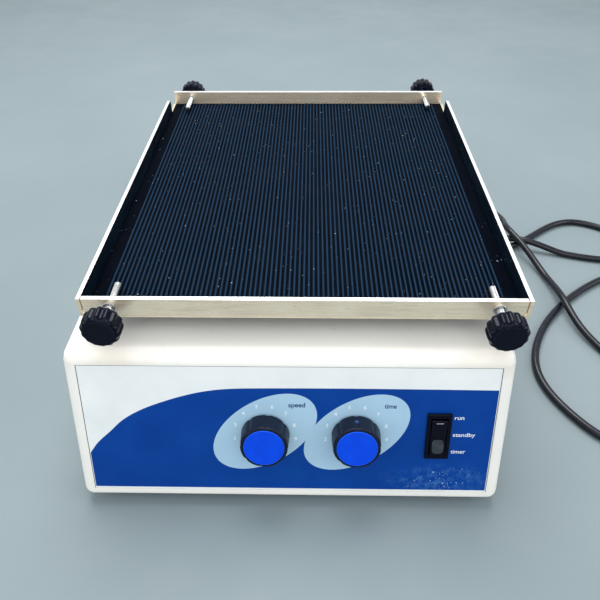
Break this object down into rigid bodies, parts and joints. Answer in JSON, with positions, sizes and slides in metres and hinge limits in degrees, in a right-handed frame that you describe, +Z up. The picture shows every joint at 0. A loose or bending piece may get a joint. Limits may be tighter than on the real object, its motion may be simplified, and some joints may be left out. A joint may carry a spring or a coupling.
{
  "type": "orbital platform shaker",
  "caption": "Laboratory orbital shaker: a shallow sheet-metal tray with a ribbed mat circles on an eccentric drive over a sloping-front housing with dials and a rocker switch.",
  "frame": {"origin": "centre of the footprint at rest, on the surface the feet stand on", "axes": "+X to the right, +Y to the back, +Z up, seen from the control panel"},
  "size_m": [0.5809, 0.5268, 0.1513],
  "materials": {
    "housing": "warm off-white moulding, fine sheen",
    "steel": "plated sheet",
    "panel_plate": "cool white",
    "overlay": "printed film: white over blue, with pale blue ovals",
    "switch_black": "black",
    "sheet_aluminium": "mill finish sheet",
    "board": "green laminate with parts",
    "cast_aluminium": "turned from casting",
    "motor_iron": "dark iron",
    "belt_rubber": "round belt",
    "cord_black": "black lead jacket",
    "turned_steel": "ground",
    "tray_aluminium": "brushed sheet, bright edges",
    "mat_rubber": "ribbed, blue-black",
    "dial_plastic": "blue-black",
    "cap_blue": "vivid blue inset",
    "stud_steel": "bright plated",
    "knob_black": "glossy black",
    "foot_rubber": "soft black"
  },
  "bodies": {
    "base": {"top_housing": "housing", "base_plate": "steel", "foot_front_left": "foot_rubber", "foot_front_right": "foot_rubber", "foot_rear_left": "foot_rubber", "foot_rear_right": "foot_rubber", "front_panel": "panel_plate", "panel_overlay": "overlay", "speed_control": "steel", "time_control": "steel", "switch_body": "switch_black", "board_bracket": "sheet_aluminium", "circuit_board": "board", "spindle_housing": "cast_aluminium", "idler_post_front_left": "cast_aluminium", "idler_post_front_right": "cast_aluminium", "idler_post_rear_left": "cast_aluminium", "idler_post_rear_right": "cast_aluminium", "motor_bracket": "steel", "motor_body": "motor_iron", "drive_belt": "belt_rubber", "cable_gland": "cord_black", "power_cord": "cord_black", "cord_coil": "cord_black", "cord_tail": "cord_black", "plug": "cord_black"},
    "crank": {"crank_shaft": "turned_steel", "drive_pulley": "cast_aluminium", "counterweight": "motor_iron"},
    "platform": {"carriage_plate": "sheet_aluminium", "hub_bearing": "turned_steel", "idler_bearing_front_left": "turned_steel", "idler_bearing_front_right": "turned_steel", "idler_bearing_rear_left": "turned_steel", "idler_bearing_rear_right": "turned_steel", "tray": "tray_aluminium", "rubber_mat": "mat_rubber"},
    "rotor": {"motor_shaft": "turned_steel", "motor_armature": "motor_iron", "motor_pulley": "cast_aluminium"},
    "speed_knob": {"speed_shaft": "turned_steel", "speed_dial": "dial_plastic", "speed_cap": "cap_blue"},
    "time_knob": {"time_shaft": "turned_steel", "time_dial": "dial_plastic", "time_cap": "cap_blue"},
    "rocker_switch": {"rocker": "switch_black"},
    "idler_front_left": {"idler_crank_front_left": "turned_steel"},
    "idler_front_right": {"idler_crank_front_right": "turned_steel"},
    "idler_rear_left": {"idler_crank_rear_left": "turned_steel"},
    "idler_rear_right": {"idler_crank_rear_right": "turned_steel"},
    "screw_front_left": {"stud_front_left": "stud_steel"},
    "grip_front_left": {"knob_front_left": "knob_black"},
    "screw_front_right": {"stud_front_right": "stud_steel"},
    "grip_front_right": {"knob_front_right": "knob_black"},
    "screw_rear_left": {"stud_rear_left": "stud_steel"},
    "grip_rear_left": {"knob_rear_left": "knob_black"},
    "screw_rear_right": {"stud_rear_right": "stud_steel"},
    "grip_rear_right": {"knob_rear_right": "knob_black"}
  },
  "joints": [
    {"name": "crank_spin", "type": "hinge", "parent": "base", "child": "crank", "pos_m": [-0.0034, 0.0072, 0.101], "axis": [0, 0, 1], "continuous": true},
    {"name": "platform_orbit", "type": "hinge", "parent": "crank", "child": "platform", "pos_m": [0.00613, 0.0072, 0.123], "axis": [0, 0, 1], "continuous": true},
    {"name": "idler_front_left_spin", "type": "hinge", "parent": "base", "child": "idler_front_left", "pos_m": [-0.1034, -0.1108, 0.104], "axis": [0, 0, 1], "continuous": true},
    {"name": "idler_front_right_spin", "type": "hinge", "parent": "base", "child": "idler_front_right", "pos_m": [0.0966, -0.1108, 0.104], "axis": [0, 0, 1], "continuous": true},
    {"name": "idler_rear_left_spin", "type": "hinge", "parent": "base", "child": "idler_rear_left", "pos_m": [-0.1034, 0.1252, 0.104], "axis": [0, 0, 1], "continuous": true},
    {"name": "idler_rear_right_spin", "type": "hinge", "parent": "base", "child": "idler_rear_right", "pos_m": [0.0966, 0.1252, 0.104], "axis": [0, 0, 1], "continuous": true},
    {"name": "rotor_spin", "type": "hinge", "parent": "base", "child": "rotor", "pos_m": [-0.0034, 0.1132, 0.091], "axis": [0, 0, 1], "continuous": true},
    {"name": "speed_turn", "type": "hinge", "parent": "base", "child": "speed_knob", "pos_m": [-0.0187, -0.19171, 0.05861], "axis": [0, -0.9541, 0.2995], "range_deg": [-268, 12]},
    {"name": "time_turn", "type": "hinge", "parent": "base", "child": "time_knob", "pos_m": [0.0407, -0.19171, 0.05861], "axis": [0, -0.9541, 0.2995], "range_deg": [-136, 144]},
    {"name": "rocker_tilt", "type": "hinge", "parent": "base", "child": "rocker_switch", "pos_m": [0.0944, -0.18971, 0.0583], "axis": [1, 0, 0], "range_deg": [-8, 8]},
    {"name": "screw_front_left_travel", "type": "slide", "parent": "platform", "child": "screw_front_left", "axis": [0, -1, 0], "range_m": [-0.004, 0.004]},
    {"name": "knob_front_left_turn", "type": "hinge", "parent": "screw_front_left", "child": "grip_front_left", "pos_m": [-0.11388, -0.1741, 0.139], "axis": [0, -1, 0], "range_deg": [-1800, 1800]},
    {"name": "screw_front_right_travel", "type": "slide", "parent": "platform", "child": "screw_front_right", "axis": [0, -1, 0], "range_m": [-0.004, 0.004]},
    {"name": "knob_front_right_turn", "type": "hinge", "parent": "screw_front_right", "child": "grip_front_right", "pos_m": [0.12612, -0.1759, 0.139], "axis": [0, -1, 0], "range_deg": [-1800, 1800]},
    {"name": "screw_rear_left_travel", "type": "slide", "parent": "platform", "child": "screw_rear_left", "axis": [0, 1, 0], "range_m": [-0.004, 0.004]},
    {"name": "knob_rear_left_turn", "type": "hinge", "parent": "screw_rear_left", "child": "grip_rear_left", "pos_m": [-0.11388, 0.1837, 0.139], "axis": [0, 1, 0], "range_deg": [-1800, 1800]},
    {"name": "screw_rear_right_travel", "type": "slide", "parent": "platform", "child": "screw_rear_right", "axis": [0, 1, 0], "range_m": [-0.004, 0.004]},
    {"name": "knob_rear_right_turn", "type": "hinge", "parent": "screw_rear_right", "child": "grip_rear_right", "pos_m": [0.12612, 0.1889, 0.139], "axis": [0, 1, 0], "range_deg": [-1800, 1800]}
  ],
  "couplings": [
    {"joint": "platform_orbit", "follows": "crank_spin", "ratio": -1},
    {"joint": "idler_front_left_spin", "follows": "crank_spin", "ratio": 1},
    {"joint": "idler_front_right_spin", "follows": "crank_spin", "ratio": 1},
    {"joint": "idler_rear_left_spin", "follows": "crank_spin", "ratio": 1},
    {"joint": "idler_rear_right_spin", "follows": "crank_spin", "ratio": 1},
    {"joint": "rotor_spin", "follows": "crank_spin", "ratio": 3.774},
    {"joint": "knob_front_left_turn", "follows": "screw_front_left_travel", "rad_per_m": 7854},
    {"joint": "knob_front_right_turn", "follows": "screw_front_right_travel", "rad_per_m": 7854},
    {"joint": "knob_rear_left_turn", "follows": "screw_rear_left_travel", "rad_per_m": 7854},
    {"joint": "knob_rear_right_turn", "follows": "screw_rear_right_travel", "rad_per_m": 7854}
  ]
}
